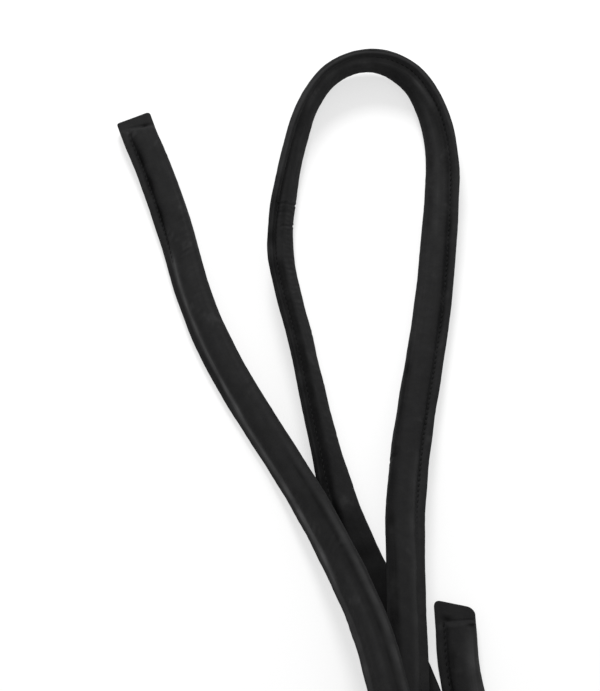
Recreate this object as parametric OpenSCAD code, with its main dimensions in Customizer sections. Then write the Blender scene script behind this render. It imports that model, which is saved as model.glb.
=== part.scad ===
// Pair of padded leather riding reins with a sewn seam edge and a swivel bolt snap on each bit end.
// The two tails and one long loop lie as laid down; the rest of each rein is folded into a flat tied hank.
// X runs across the reins, Y along them towards the loop, Z up from the surface they lie on.

/* [Strap] */
// Width of the finished strap, roll and seam edge together
strap_w = 16; // [14:0.5:18]
// Width of the padded roll
roll_w = 11.5; // [10.5:0.5:12]
// Height of the padded roll
roll_h = 7; // [6.4:0.1:8]
// Rounding of the roll's corners
roll_round = 2.4; // [1.8:0.1:2.8]
// Height of the seam edge's middle above the roll's middle
seam_up = 0.9; // [0.5:0.1:1.2]
// Thickness of the cover leather
leather_t = 1.5; // [1.2:0.1:1.7]
// Room between the cover and the core
core_gap = 0.3; // [0.2:0.05:0.5]
// Thickness of the seam thread
thread_t = 0.7; // [0.5:0.1:0.9]
// Distance of the seam from the roll
seam_inset = 1.2; // [0.9:0.1:1.8]
// Room between the thread and the leather
thread_gap = 0.35; // [0.25:0.05:0.45]
// Length of the flat sewn tail end
tail_tab = 6; // [4:0.5:7]
// Slant of the right rein's tail cut, in degrees
tail_slant = 16; // [0:1:24]

/* [Hank] */
// Free space between straps that lie side by side
lay_gap = 2; // [1:0.5:3]
// Thickness of the hank ties
tie_t = 1.6; // [1.2:0.1:2.4]
// Width of the hank ties
tie_w = 18; // [12:1:30]
// Room between the ties and the straps
tie_gap = 0.3; // [0.2:0.1:0.6]

/* [Bit end] */
// Length of the flat strap end inside the chape
bit_tab = 34; // [28:1:38]
// Length over which the roll flattens out
flatten_l = 8; // [6:1:12]
// Length of the folded chape, up to the eye bar
chape_l = 60; // [54:1:70]
// Thickness of the chape leather
chape_t = 2.4; // [1.8:0.1:2.6]
// Room between the chape and the eye bar
chape_gap = 0.3; // [0.2:0.1:0.5]
// Room between the chape's two plies where the rivet draws them together
ply_gap = 0.2; // [0.1:0.1:0.5]
// Distance of the rivet from the eye bar
rivet_x = 16.5; // [15:0.5:18]
// Rivet shank diameter
rivet_d = 3; // [2.5:0.1:3.5]
// Rivet head diameter
rivet_head_d = 8; // [6:0.5:9]
// Rivet head height
rivet_head_h = 1.5; // [1:0.1:2]
// Thickness of the rivet's burr washer
burr_t = 1; // [0.8:0.1:1.4]
// Room between the rivet and its hole
rivet_gap = 0.05; // [0.02:0.01:0.1]

/* [Snap eye] */
// Thickness of the eye's bar
bar_d = 4.5; // [3.5:0.1:5]
// Free width inside the eye beyond the chape
eye_play = 0.8; // [0.6:0.1:1.5]
// Length of the eye's straight sides
eye_side = 7; // [6:0.5:8]
// Distance from the eye bar to where its arms meet
eye_l = 15; // [14:0.5:16]
// Diameter of the swivel stem
stem_d = 5; // [4:0.1:5.6]
// Diameter of the peened stem head
stem_head_d = 8; // [7:0.1:8.4]
// Thickness of the peened stem head
stem_head_t = 2; // [1.5:0.1:2.5]
// Radial running room of the swivel
swivel_gap = 0.05; // [0.02:0.01:0.1]

/* [Snap body] */
// Outer diameter of the swivel housing
housing_d = 10; // [9.6:0.1:10.1]
// Length of the collar that holds the stem
collar_l = 5; // [4:0.5:6]
// End play of the stem head
head_play = 0.5; // [0.3:0.1:1]
// Inner radius of the hook's bowl
bowl_r = 9; // [8:0.5:10]
// Thickness of the hook
hook_d = 6.4; // [6:0.2:7]
// Distance from the eye bar to the centre of the bowl
bowl_x = 66; // [64:0.5:72]
// Half thickness of the cast web between the housing and the bowl
web_h = 2.6; // [2:0.1:3]

/* [Bolt] */
// Diameter of the sliding bolt
bolt_d = 4.8; // [4:0.1:5]
// Radial running room of the bolt
bolt_gap = 0.05; // [0.02:0.01:0.1]
// Wall of the bolt barrel
barrel_wall = 1.8; // [1.4:0.1:2]
// Free room between the bolt and the bowl
bolt_clear = 0.5; // [0.3:0.1:1]
// Travel of the bolt
bolt_travel = 11; // [10:0.25:11.2]
// Room between the bolt's tip and the hook's tip
tip_gap = 0.3; // [0.2:0.1:0.6]
// Length of the bolt that stays in its barrel when shut
bolt_grip = 11; // [9:0.5:12]
// Shank diameter of the thumb stud
stud_d = 3; // [2.4:0.1:3.4]
// Head diameter of the thumb stud
stud_head_d = 5.6; // [4.6:0.1:6]
// Height of the thumb stud's head
stud_head_h = 2.4; // [1.6:0.1:3]
// Room round the thumb stud in its slot
stud_gap = 0.3; // [0.2:0.1:0.5]
// Wire thickness of the bolt spring
wire_d = 0.7; // [0.5:0.05:0.8]
// Turns of the bolt spring
spring_turns = 7; // [5:1:9]
// Room round the bolt spring
spring_gap = 0.3; // [0.2:0.05:0.5]

/* [Hidden] */
$fn = 48;

// Height of the roll's centre where the strap lies flat
flat_z = roll_h / 2;
// Reach of the strap from its route: the roll's back on one side, the seam edge on the other
back_p = strap_w * 5 / 16;
edge_p = strap_w - back_p;
// Middle of the flat strap and middle of the roll, seen from the route
mid_p = (edge_p - back_p) / 2;
roll_p = roll_w / 2 - back_p;
// Height of the snaps' middle, and lift of the strap ends that meet it
snap_z = housing_d / 2 + 0.1;
end_lift = snap_z - flat_z;
// Distance from one strap of the hank to the next
pitch = strap_w + lay_gap;
// Lift of the straps where a tie passes under them
tie_lift = tie_t + 2 * tie_gap;

// Places of the hank's runs across X, and of its folds along Y
run_1 = 43;
run_2 = -89;
run_3 = run_1 - pitch;
run_4 = run_2 + pitch;
out_left = run_2 - pitch - 1;
out_right = 95;
fold_low = -554;
fold_high = -275;
outer_low = fold_low + 8;
tie_y = -420;
left_end_x = -32;
// The left snap's tip stays clear of the fold above it
snap_room = 3.4;
bar_reach = flatten_l + chape_l + 1;
hook_r = bowl_r + hook_d * 0.375;
hook_out = hook_r + hook_d / 2;
left_end_y = fold_high + (run_3 - run_2) / 2 - edge_p - snap_room - bar_reach - bowl_x - hook_out;
right_end_x = 69;
right_end_y = -244;

// Route points are [x, y, lift above lying flat, degrees that the seam edge is turned down (below 0: up)].
function fold(x0, x1, y, turn, steps) =
  [for (i = [0:steps])
    let (a = turn > 0 ? 180 - 180 * i / steps : -180 * i / steps, r = abs(x1 - x0) / 2)
    [(x0 + x1) / 2 + r * cos(a), y + r * sin(a), 0, 0]];

// A straight run that is lifted over a tie, from y0 to y1
function tied_run(x, y0, y1) =
  let (s = sign(y1 - y0))
  [[x, y0 + 34 * s, 0, 0], [x, tie_y - 62 * s, 0, 0], [x, tie_y - 24 * s, tie_lift, 0],
   [x, tie_y + 24 * s, tie_lift, 0], [x, tie_y + 62 * s, 0, 0], [x, y1 - 34 * s, 0, 0]];

left_tail = [
  [-73.4, 114.9, 1.9, 8], [-70.4, 106.4, 1.4, 8], [-63.2, 88.2, 1, 12], [-56.1, 67.2, 1.4, 20],
  [-50.1, 46.2, 2.8, 32], [-44.6, 25, 3.9, 39], [-37.1, 3.9, 4.2, 41], [-27.9, -16.1, 4.5, 43],
  [-17.2, -35.8, 5.1, 47], [-6.3, -54.9, 6, 50], [4, -73.8, 8.4, 49], [13.9, -94.2, 11.2, 46],
  [22.9, -115.6, 15.4, 44], [29.9, -136, 20.4, 40], [35.3, -159.4, 24.6, 36], [38, -173, 24.4, 32],
  [41.1, -186.5, 21, 26], [44, -213, 10, 12], [43.8, -240, 2.4, 4], [run_1, -268, 0, 0]
];
left_bit_run = [
  [run_4 + 2, left_end_y - 138, 0, 0], [run_4 + 13, left_end_y - 104, 0, 0],
  [left_end_x - 11, left_end_y - 66, 0, 0], [left_end_x - 1, left_end_y - 32, end_lift, 0],
  [left_end_x, left_end_y, end_lift, 0]
];
left_route = concat(
  left_tail, tied_run(run_1, -290, fold_low + 10),
  fold(run_1, run_2, fold_low, -1, 10), tied_run(run_2, fold_low - 10, fold_high + 6),
  fold(run_2, run_3, fold_high, 1, 10), tied_run(run_3, fold_high + 10, fold_low - 6),
  fold(run_3, run_4, fold_low, -1, 10), left_bit_run
);

right_tail = [
  [63.9, -118.6, 0.3, 6], [64.2, -128.6, 0.4, 10], [64.7, -144, 0.9, 20], [67, -160, 1.9, 30],
  [76, -186, 0.9, 16], [86, -215, 0, 4], [93, -246, 0, 0], [out_right, -280, 0, 0],
  [out_right, -350, 0, 0], [out_right, -430, 0, 0], [out_right, outer_low + 34, 0, 0]
];
right_back = [
  [out_left + 1, -258, 0, 0], [-97, -234, 0, 0], [-81, -215, 0, 0], [-60, -203, 0, 0], [-38, -199, 0, 0],
  [-18, -199, 0, 0], [0, -199, 0.2, 2], [15.5, -195, 1.9, 8], [29, -186.5, 6.4, 16],
  [37.2, -172.5, 10.9, 24], [38.6, -156, 13.3, 29]
];
right_loop = [
  [39, -139, 13.3, 32], [38.7, -121, 12.7, 30], [38.9, -104, 11.2, 27], [39.1, -87, 8.9, 20],
  [40.6, -69, 6.9, 16], [43, -50, 4.9, 15], [46.1, -31, 2.9, 13], [49.5, -12, 1.2, 8],
  [52.9, 8, 0.4, 2], [55.8, 28, 0.2, -5], [58.1, 48, 0.4, -13], [60.4, 69, 0.8, -21],
  [61.7, 88, 1.3, -31], [61, 104, 1.9, -43], [57.4, 120, 2.6, -56], [50.9, 133.2, 3.4, -71],
  [41.8, 141.2, 3.8, -86], [32, 143.9, 4, -93], [22.2, 141.9, 3.9, -93], [12.4, 134.4, 3.4, -86],
  [4.8, 121.6, 2.8, -77], [-0.2, 105.3, 2.3, -69], [-3.7, 88, 1.9, -66], [-6.1, 71, 1.6, -61],
  [-7.6, 53, 1.6, -56], [-6.6, 35.2, 1.6, -50], [-2.8, 16.4, 1.6, -49], [1.5, -2.7, 1.6, -51],
  [5.4, -21.9, 1.6, -50], [9.2, -39.9, 1.4, -46], [13.6, -57.9, 1.1, -39], [18.9, -76, 0.6, -20],
  [25.6, -94.2, 0.3, -10], [33.5, -112, 0.1, -5], [40.3, -130, 0, -2], [46.2, -146, 0, 0],
  [51, -160, 0, 0], [57.5, -185, 0, 0], [64.5, -212, end_lift * 0.6, 0], [right_end_x - 0.5, -230, end_lift, 0],
  [right_end_x, right_end_y, end_lift, 0]
];
right_route = concat(
  right_tail, fold(out_right, out_left, outer_low, -1, 12),
  tied_run(out_left, outer_low - 4, -290), right_back, right_loop
);

// Adds the rings of the flat tail end and of the flat bit end to a route
function with_ends(r) =
  let (n = len(r), d0 = norm(r[1] - r[0]), d = (r[n - 1] - r[n - 2]) / norm(r[n - 1] - r[n - 2]))
  concat([r[0], r[0] + (r[1] - r[0]) * tail_tab / d0], [for (i = [1:n - 1]) r[i]],
    [r[n - 1] + d * flatten_l, r[n - 1] + d * (flatten_l + bit_tab)]);

left_path = with_ends(left_route);
right_path = with_ends(right_route);

// Direction of travel at point i, weighted by the spans on either side
function place(r, i) = [r[i][0], r[i][1], flat_z + r[i][2]];
function heading(r, i) =
  let (
    n = len(r) - 1,
    a = place(r, i) - place(r, max(i - 1, 0)),
    b = place(r, min(i + 1, n)) - place(r, i),
    la = max(norm(a), 0.001),
    lb = max(norm(b), 0.001),
    v = i == 0 ? b : i == n ? a : a / la * lb + b / lb * la
  )
  v / norm(v);

// Points of one ring: section points [across, up], skewed along the strap by slant
function ring(r, i, section, slant) =
  let (
    t = heading(r, i),
    h = norm([t[0], t[1]]),
    n = [t[1], -t[0], 0] / h,
    w = [-t[0] * t[2], -t[1] * t[2], h * h] / h,
    f = r[i][3],
    across = n * cos(f) - w * sin(f),
    up = w * cos(f) + n * sin(f)
  )
  [for (s = section)
    let (q = place(r, i) + across * s[0] + up * s[1] - t * tan(slant) * (s[0] - mid_p))
    [q[0], q[1], max(q[2], 0)]];

// Section of the cover: the seam edge first, then round the roll
front_p = roll_w - back_p;
valley_p = front_p + 0.3;
top = roll_h / 2;
ply_top = seam_up + leather_t;
ply_low = seam_up - leather_t;
side_q = top - roll_round;
cover_section = [
  [edge_p, ply_top], [edge_p, ply_low], [valley_p, ply_low], [front_p - 0.2, (ply_low - top) / 2],
  [front_p - roll_round, -top], [roll_round - back_p, -top], [-back_p, -side_q],
  [-back_p, side_q], [roll_round - back_p, top], [front_p - roll_round, top],
  [front_p - 0.3, (ply_top + top) / 2], [valley_p, ply_top]
];
tab_q = [1, -1, -1, -1, -1, -1, -1, 1, 1, 1, 1, 1];
tab_section = [for (k = [0:11]) [cover_section[k][0], leather_t * tab_q[k]]];
function six(a, b) =
  [for (s = [[a, 0], [a / 2, -b], [-a / 2, -b], [-a, 0], [-a / 2, b], [a / 2, b]]) [roll_p + s[0], s[1]]];
hollow_a = roll_w / 2 - leather_t;
hollow_b = roll_h / 2 - leather_t;
hollow_section = six(hollow_a, hollow_b);
slit_section = six(hollow_a, ply_gap / 2);
core_section = six(hollow_a - 1.15 * core_gap, hollow_b - core_gap);
seam_p = valley_p + seam_inset;
function thread_section(side) =
  let (low = leather_t + thread_gap, h = thread_t / 2)
  side > 0
    ? [[seam_p + h, seam_up + low], [seam_p - h, seam_up + low], [seam_p, seam_up + low + thread_t]]
    : [[seam_p - h, seam_up - low], [seam_p + h, seam_up - low], [seam_p, seam_up - low - thread_t]];

// Triangles of a tube of m sides between rings a and b, whose points start at base
function tube_faces(m, a, b, base, inward) =
  [for (i = [a:b - 1], k = [0:m - 1], half = [0, 1])
    let (
      p = base + (i - a) * m + k,
      q = base + (i - a) * m + (k + 1) % m,
      f = half == 0 ? [p, q, q + m] : [p, q + m, p + m]
    )
    inward ? [f[2], f[1], f[0]] : f];
function fan(m, base, turned) =
  [for (k = [1:m - 2]) turned ? [base + k + 1, base + k, base] : [base, base + k, base + k + 1]];

// The flat end of the cover is closed in strips from its seam edge to its roll.
cap_strips = [[0, 1, 2, 11], [11, 2, 3, 10], [10, 3, 4, 9], [9, 4, 5, 8], [8, 5, 6, 7]];
cap_faces = [for (q = cap_strips, half = [0, 1]) half == 0 ? [q[0], q[1], q[2]] : [q[0], q[2], q[3]]];
// Inner corner that each outer corner faces at the open bit end
facing = [0, 0, 0, 1, 1, 2, 3, 3, 4, 5, 5, 0];

function cover_rings(r, slant) =
  [for (i = [0:len(r) - 1])
    let (n = len(r) - 1, flat = i < 2 || i > n - 2)
    each ring(r, i, flat ? tab_section : cover_section, i == 0 ? slant : i == 1 ? slant / 2 : 0)];

module cover(r, slant) {
  n = len(r) - 1;
  inner = 12 * (n + 1);
  last = 12 * n;
  mouth = inner + 6 * (n - 2);
  points = concat(
    cover_rings(r, slant),
    [for (i = [2:n]) each ring(r, i, i > n - 2 ? slit_section : hollow_section, 0)]
  );
  rim = [for (k = [0:11], half = [0, 1])
    let (k2 = (k + 1) % 12)
    if (half == 0 || facing[k] != facing[k2])
      half == 0
        ? [mouth + facing[k], last + k2, last + k]
        : [mouth + facing[k], mouth + facing[k2], last + k2]];
  outer_tube = tube_faces(12, 0, n, 0, true);
  inner_tube = tube_faces(6, 2, n, inner, false);
  polyhedron(points, concat(outer_tube, cap_faces, inner_tube, fan(6, inner, true), rim));
}

module tube(r, section, first, last) {
  m = len(section);
  points = [for (i = [first:last]) each ring(r, i, section, 0)];
  ends = concat(fan(m, 0, false), fan(m, m * (last - first), true));
  polyhedron(points, concat(tube_faces(m, first, last, 0, true), ends));
}

// Middle of the outline, which is the origin in X and Y
outline = concat(cover_rings(left_path, 0), cover_rings(right_path, tail_slant));
left_x = out_left - back_p - tie_gap - tie_t;
mid_x = (min(left_x, min([for (q = outline) q[0]])) + max([for (q = outline) q[0]])) / 2;
mid_y = (min([for (q = outline) q[1]]) + max([for (q = outline) q[1]])) / 2;
module laid() { translate([-mid_x, -mid_y, 0]) children(); }

// Snap frames: the eye bar at the origin, the hook along +X
module at_left_snap() {
  laid() translate([left_end_x + mid_p, left_end_y + bar_reach, snap_z]) rotate([0, 0, 90]) children();
}
module at_right_snap() {
  laid() translate([right_end_x - mid_p, right_end_y - bar_reach, snap_z]) rotate([0, 0, -90]) children();
}

module along_x(x, l, d) { translate([x, 0, 0]) rotate([0, 90, 0]) cylinder(d = d, h = l); }

// Folded chape: its plies hold the strap end, close at the rivet and open round the eye bar
loop_r = bar_d / 2 + chape_gap;
pinch_x = rivet_x - rivet_head_d / 2 - 0.5;
spread_a = 90 + asin((loop_r - ply_gap / 2) / pinch_x);
tab_end = chape_l + 1 - bit_tab;
close_x = rivet_x + rivet_head_d / 2 + 0.5;
ply_in = leather_t + tie_gap;
// One face of the upper ply, from its free end to the eye bar, at depth t of the leather
function ply_face(t) = [
  [-chape_l, ply_in + t], [-tab_end, ply_in + t], [-close_x, ply_gap / 2 + t],
  [-pinch_x, ply_gap / 2] + t * [cos(spread_a), sin(spread_a)]
];
function loop_face(r) = [for (i = [0:24]) let (a = spread_a * (1 - i / 12)) r * [cos(a), sin(a)]];
function below(face) = [for (i = [len(face) - 1:-1:0]) [face[i][0], -face[i][1]]];
function turned(face) = [for (i = [len(face) - 1:-1:0]) face[i]];
module chape() {
  outside = concat(ply_face(chape_t), loop_face(loop_r + chape_t), below(ply_face(chape_t)));
  inside = concat(ply_face(0), loop_face(loop_r), below(ply_face(0)));
  difference() {
    rotate([90, 0, 0]) linear_extrude(strap_w, center = true) polygon(concat(outside, turned(inside)));
    translate([-rivet_x, 0, 0]) cylinder(d = rivet_d + 2 * rivet_gap, h = 20, center = true);
  }
}

// Copper rivet: a domed head above the plies, its shank through them and through the burr
stack_h = chape_t + ply_gap / 2;
module rivet() {
  sphere_r = (pow(rivet_head_d / 2, 2) + pow(rivet_head_h, 2)) / (2 * rivet_head_h);
  translate([-rivet_x, 0, 0]) {
    translate([0, 0, -stack_h - burr_t - 0.4]) cylinder(d = rivet_d, h = 2 * stack_h + burr_t + 0.4);
    intersection() {
      translate([0, 0, stack_h + rivet_head_h - sphere_r]) sphere(sphere_r);
      translate([0, 0, stack_h]) cylinder(d = rivet_head_d, h = rivet_head_h);
    }
  }
}
module burr() {
  translate([-rivet_x, 0, -stack_h - burr_t]) difference() {
    cylinder(d = rivet_head_d, h = burr_t);
    translate([0, 0, -1]) cylinder(d = rivet_d + 2 * rivet_gap, h = burr_t + 2);
  }
}

// Snap eye: a bar across the chape, two arms that close in on the stem, and the peened stem head
eye_y = strap_w / 2 + eye_play / 2 + bar_d / 2;
collar_x = eye_l + bar_d / 2;
head_x = collar_x + collar_l + head_play / 2;
module eye_arm() {
  run = eye_l - eye_side;
  translate([0, eye_y, 0]) along_x(0, eye_side, bar_d);
  translate([eye_side, eye_y, 0]) {
    sphere(d = bar_d);
    rotate([0, 0, -atan2(eye_y, run)]) along_x(0, norm([eye_y, run]), bar_d);
  }
}
module snap_eye() {
  rotate([90, 0, 0]) cylinder(d = bar_d, h = 2 * eye_y, center = true);
  for (s = [-1, 1]) translate([0, s * eye_y, 0]) sphere(d = bar_d);
  eye_arm();
  mirror([0, 1, 0]) eye_arm();
  translate([eye_l, 0, 0]) sphere(d = max(stem_d, bar_d) + 0.8);
  along_x(eye_l, head_x - eye_l, stem_d);
  along_x(head_x, stem_head_t, stem_head_d);
}

// Snap body: swivel housing, cast web, bowl-shaped hook and the bolt's barrel beside it
bolt_y = bowl_r + bolt_clear + bolt_d / 2;
barrel_d = bolt_d + 2 * bolt_gap + 2 * barrel_wall;
shut_x = bowl_x + bowl_r * 0.59;
mouth_x = shut_x - tip_gap - bolt_travel - 0.2;
bolt_back = mouth_x - bolt_grip;
coiled_l = spring_turns * wire_d + 1;
barrel_back = bolt_back - bolt_travel - coiled_l - spring_gap;
housing_x = head_x + stem_head_t + head_play / 2;
stud_x = mouth_x - 2 - stud_d / 2 - stud_gap;
module hook() {
  translate([bowl_x, 0, 0]) rotate_extrude($fn = 96) intersection() {
    translate([hook_r, 0]) circle(d = hook_d);
    translate([bowl_r, -hook_d]) square([2 * hook_d, 2 * hook_d]);
  }
}
module web() {
  linear_extrude(2 * web_h, center = true) polygon([
    [housing_x, -housing_d / 2 + 1], [bowl_x - hook_r - 3, -bowl_r], [bowl_x - hook_r + 4, -bowl_r],
    [bowl_x - hook_r + 4, bolt_y], [barrel_back + 2, bolt_y], [housing_x, housing_d / 2 - 1]
  ]);
}
module snap_body() {
  room = stem_head_d + 0.6;
  difference() {
    union() {
      along_x(collar_x, housing_x + 2 - collar_x, housing_d);
      difference() {
        web();
        translate([bowl_x, 0, 0]) cylinder(r = hook_r, h = 40, center = true);
      }
      difference() {
        hook();
        translate([mouth_x, bowl_r / 2, -10]) cube([shut_x - mouth_x, 2 * bowl_r, 20]);
      }
      translate([0, bolt_y, 0]) along_x(barrel_back - barrel_wall, mouth_x - barrel_back + barrel_wall, barrel_d);
    }
    along_x(collar_x - 1, collar_l + 2, stem_d + 2 * swivel_gap);
    along_x(head_x - head_play / 2, stem_head_t + head_play, room);
    translate([head_x - head_play / 2, -room / 2 + 1, -10]) cube([stem_head_t + head_play, room - 2, 20]);
    translate([0, bolt_y, 0]) along_x(barrel_back, mouth_x - barrel_back + 1, bolt_d + 2 * bolt_gap);
    stud_slot();
  }
}
module stud_slot() {
  w = stud_d + 2 * stud_gap;
  translate([0, bolt_y, 0]) {
    for (x = [stud_x, stud_x - bolt_travel]) translate([x, 0, 0]) cylinder(d = w, h = 20);
    translate([stud_x - bolt_travel, -w / 2, 0]) cube([bolt_travel, w, 20]);
  }
}

// Sliding bolt, its thumb stud and the spring that shuts it
bolt_tip = shut_x - tip_gap;
module snap_bolt() {
  difference() {
    translate([0, bolt_y, 0]) along_x(bolt_back, bolt_tip - bolt_back, bolt_d);
    translate([stud_x, bolt_y, 0]) cylinder(d = stud_d, h = 10);
  }
}
module thumb_stud() {
  top = barrel_d / 2 + stud_gap;
  translate([stud_x, bolt_y, 0]) {
    cylinder(d = stud_d, h = top);
    translate([0, 0, top]) cylinder(d1 = stud_head_d - 1, d2 = stud_head_d, h = stud_head_h / 2);
    translate([0, 0, top + stud_head_h / 2]) cylinder(d1 = stud_head_d, d2 = stud_head_d - 1.2, h = stud_head_h / 2);
  }
}
module snap_spring() {
  steps = 8;
  turns = spring_turns;
  start = barrel_back + spring_gap + wire_d / 2;
  l = bolt_back - spring_gap - wire_d / 2 - start;
  r = bolt_d / 2 - spring_gap - wire_d / 2;
  n = turns * steps;
  points = [for (i = [0:n], k = [0:3])
    let (a = 360 * i / steps, b = 90 * k, c = r + wire_d / 2 * cos(b))
    [start + l * i / n + wire_d / 2 * sin(b), bolt_y + c * cos(a), c * sin(a)]];
  ends = concat(fan(4, 0, true), fan(4, 4 * n, false));
  polyhedron(points, concat(tube_faces(4, 0, n, 0, false), ends));
}

// Tie round two straps that lie side by side, from x0 to x1
module tie(x0, x1) {
  w = x1 - x0 + 2 * tie_gap;
  h = roll_h + 2 * tie_gap;
  laid() translate([(x0 + x1) / 2, tie_y, h / 2 + tie_t]) rotate([90, 0, 0])
    linear_extrude(tie_w, center = true) difference() {
      union() {
        square([w, h + 2 * tie_t], center = true);
        square([w + 2 * tie_t, h], center = true);
        for (x = [-w / 2, w / 2], y = [-h / 2, h / 2]) translate([x, y]) circle(tie_t);
      }
      square([w, h], center = true);
    }
}

// Least gap of a rein to itself, measured between the corners of rings over 70 mm apart along it
function strap_s(r) = [for (i = 0, s = 0; i < len(r);
  s = s + norm(place(r, min(i + 1, len(r) - 1)) - place(r, i)), i = i + 1) s];
function least_gap(r) =
  let (s = strap_s(r), n = len(r) - 1)
  min([for (i = [0:n - 1], j = [i + 1:n])
    if (s[j] - s[i] > 70 && norm(place(r, i) - place(r, j)) < 40)
      let (a = ring(r, i, cover_section, 0), b = ring(r, j, cover_section, 0))
      min([for (p = a, q = b) norm(p - q)])]);
union() {  // left_rein_cover
  echo(left_rein_length = strap_s(left_path)[len(left_path) - 1], least_gap = least_gap(left_path));
}
union() {  // right_rein_cover
  echo(right_rein_length = strap_s(right_path)[len(right_path) - 1], least_gap = least_gap(right_path));
  echo(origin_at = [mid_x, mid_y]);
}

leather = [0.09, 0.09, 0.095];
steel = [0.72, 0.72, 0.74];
copper = [0.72, 0.43, 0.28];
module left_rein_cover() { color(leather) laid() cover(left_path, 0); }
module left_rein_core() { color("dimgray") laid() tube(left_path, core_section, 3, len(left_path) - 3); }
module left_rein_upper_thread() {
  color("black") laid() tube(left_path, thread_section(1), 2, len(left_path) - 3);
}
module left_rein_lower_thread() {
  color("black") laid() tube(left_path, thread_section(-1), 2, len(left_path) - 3);
}
module left_rein_chape() { color(leather) at_left_snap() chape(); }
module left_rein_rivet() { color(copper) at_left_snap() rivet(); }
module left_rein_burr() { color(copper) at_left_snap() burr(); }
module left_snap_eye() { color(steel) at_left_snap() snap_eye(); }
module left_snap_body() { color(steel) at_left_snap() snap_body(); }
module left_snap_bolt() { color(steel) at_left_snap() snap_bolt(); }
module left_snap_thumb_stud() { color(steel) at_left_snap() thumb_stud(); }
module left_snap_spring() { color(steel) at_left_snap() snap_spring(); }
module right_rein_cover() { color(leather) laid() cover(right_path, tail_slant); }
module right_rein_core() { color("dimgray") laid() tube(right_path, core_section, 3, len(right_path) - 3); }
module right_rein_upper_thread() {
  color("black") laid() tube(right_path, thread_section(1), 2, len(right_path) - 3);
}
module right_rein_lower_thread() {
  color("black") laid() tube(right_path, thread_section(-1), 2, len(right_path) - 3);
}
module right_rein_chape() { color(leather) at_right_snap() chape(); }
module right_rein_rivet() { color(copper) at_right_snap() rivet(); }
module right_rein_burr() { color(copper) at_right_snap() burr(); }
module right_snap_eye() { color(steel) at_right_snap() snap_eye(); }
module right_snap_body() { color(steel) at_right_snap() snap_body(); }
module right_snap_bolt() { color(steel) at_right_snap() snap_bolt(); }
module right_snap_thumb_stud() { color(steel) at_right_snap() thumb_stud(); }
module right_snap_spring() { color(steel) at_right_snap() snap_spring(); }
module left_hank_tie() { color(leather) tie(out_left - back_p, run_2 + edge_p); }
module right_hank_tie() { color(leather) tie(run_3 - edge_p, run_1 + back_p); }

left_rein_cover();
left_rein_core();
left_rein_upper_thread();
left_rein_lower_thread();
left_rein_chape();
left_rein_rivet();
left_rein_burr();
left_snap_eye();
left_snap_body();
left_snap_bolt();
left_snap_thumb_stud();
left_snap_spring();
right_rein_cover();
right_rein_core();
right_rein_upper_thread();
right_rein_lower_thread();
right_rein_chape();
right_rein_rivet();
right_rein_burr();
right_snap_eye();
right_snap_body();
right_snap_bolt();
right_snap_thumb_stud();
right_snap_spring();
left_hank_tie();
right_hank_tie();
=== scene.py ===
"""Looks of a pair of padded leather riding reins, made round the frame of their solids."""

import math

import bmesh
import bpy
import numpy as np
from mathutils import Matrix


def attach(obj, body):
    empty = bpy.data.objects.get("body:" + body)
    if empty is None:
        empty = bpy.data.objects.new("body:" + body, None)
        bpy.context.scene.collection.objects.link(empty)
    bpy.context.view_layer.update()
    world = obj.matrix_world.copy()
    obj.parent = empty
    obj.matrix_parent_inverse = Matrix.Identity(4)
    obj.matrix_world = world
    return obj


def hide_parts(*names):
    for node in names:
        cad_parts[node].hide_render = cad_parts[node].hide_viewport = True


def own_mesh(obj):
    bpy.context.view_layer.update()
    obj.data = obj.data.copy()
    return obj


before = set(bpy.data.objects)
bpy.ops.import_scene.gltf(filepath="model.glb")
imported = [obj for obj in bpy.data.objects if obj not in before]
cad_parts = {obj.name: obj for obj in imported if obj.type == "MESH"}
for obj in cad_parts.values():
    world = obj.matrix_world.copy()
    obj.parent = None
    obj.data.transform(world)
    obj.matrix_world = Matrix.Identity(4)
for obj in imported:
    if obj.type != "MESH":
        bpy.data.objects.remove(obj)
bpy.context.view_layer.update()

# Sizes are millimetres on a plan of the table, which has the frame's origin at ORIGIN
MM = 0.001
ORIGIN = np.array([-7.45, -252.485, 0.0])

# Strap: whole width, and the way across from its route to the roll's back, the seam edge,
# its own middle, the roll's middle and the seam
STRAP_W, BACK_P = 16.0, 5.0
EDGE_P = STRAP_W - BACK_P
MID_P = (EDGE_P - BACK_P) / 2
ROLL_P, SEAM_P = 0.75, 7.5
# Height of the route above the table, of the seam edge's middle above the route, and one layer of leather
FLAT_Z, SEAM_UP, LEATHER_T = 3.5, 0.9, 1.5
STITCH_PITCH = 2.5
# Flat sewn tail end, and the bit end, where the roll flattens out into a flat tab
TAIL_TAB, FLATTEN_L, BIT_TAB = 6.0, 8.0, 34.0
# Room between pieces of leather that lie on each other, and of any point above the table
SOFT_GAP, TABLE_GAP = 0.3, 0.02

# Hank: its ties, the places of its runs across X and of its folds along Y
TIE_Y, TIE_W, TIE_T = -420.0, 18.0, 1.6
TIE_LIFT = TIE_T + 2 * SOFT_GAP
PITCH = STRAP_W + 2.0
RUN_1, RUN_2 = 43.0, -89.0
RUN_3, RUN_4 = RUN_1 - PITCH, RUN_2 + PITCH
OUT_LEFT, OUT_RIGHT = RUN_2 - PITCH - 1, 95.0
FOLD_LOW, FOLD_HIGH = -554.0, -275.0
OUTER_LOW = FOLD_LOW + 8

# Bit ends: where the padding ends, the chape round the snap's eye bar, and the spring behind the bolt
SNAP_Z = 5.1
END_LIFT = SNAP_Z - FLAT_Z
LEFT_END, RIGHT_END = (-32.0, -382.0), (69.0, -244.0)
CHAPE_L, CHAPE_T, PLY_GAP, LOOP_R = 60.0, 2.4, 0.2, 2.55
BAR_REACH = FLATTEN_L + CHAPE_L + 1
BOLT_Y, BOLT_TRAVEL = 11.9, 11.0
SPRING_X, SPRING_L, SPRING_R, SPRING_TURNS, WIRE = 32.26, 15.9, 1.75, 7, 0.7


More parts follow.
